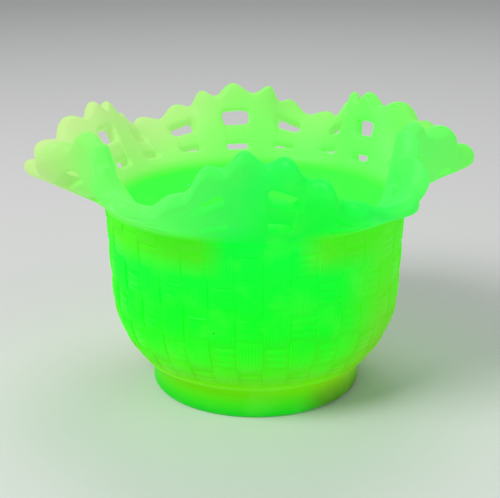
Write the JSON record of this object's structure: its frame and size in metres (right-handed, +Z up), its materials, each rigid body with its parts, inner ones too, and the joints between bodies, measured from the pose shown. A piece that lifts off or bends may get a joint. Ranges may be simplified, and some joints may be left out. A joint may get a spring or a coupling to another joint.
{
  "type": "openwork glass bowl",
  "caption": "Footed pressed-glass bowl with a basket-weave body and a crimped openwork border with a scalloped edge, in glowing green uranium glass.",
  "frame": {"origin": "centre of the foot, on the surface that the bowl stands on", "axes": "+Z up along the bowl's axis, -Y to the front crest of the border, +X to the right"},
  "size_m": [0.1549, 0.1372, 0.0988],
  "materials": {
    "foot_glass": "satin, glowing yellow-green uranium glass, nearly opaque",
    "bowl_glass": "satin, glowing green uranium glass, nearly opaque",
    "weave_glass": "satin, glowing green uranium glass, nearly opaque",
    "lace_glass": "satin, glowing pale green uranium glass, nearly opaque"
  },
  "bodies": {
    "root": {"foot_ring": "foot_glass", "bowl_floor": "bowl_glass", "bowl_wall": "bowl_glass", "weave_bands": "weave_glass", "weave_uprights": "weave_glass", "lace_sills": "lace_glass", "lace_stakes": "lace_glass", "lace_strands": "lace_glass", "scalloped_edge": "lace_glass"}
  },
  "joints": []
}
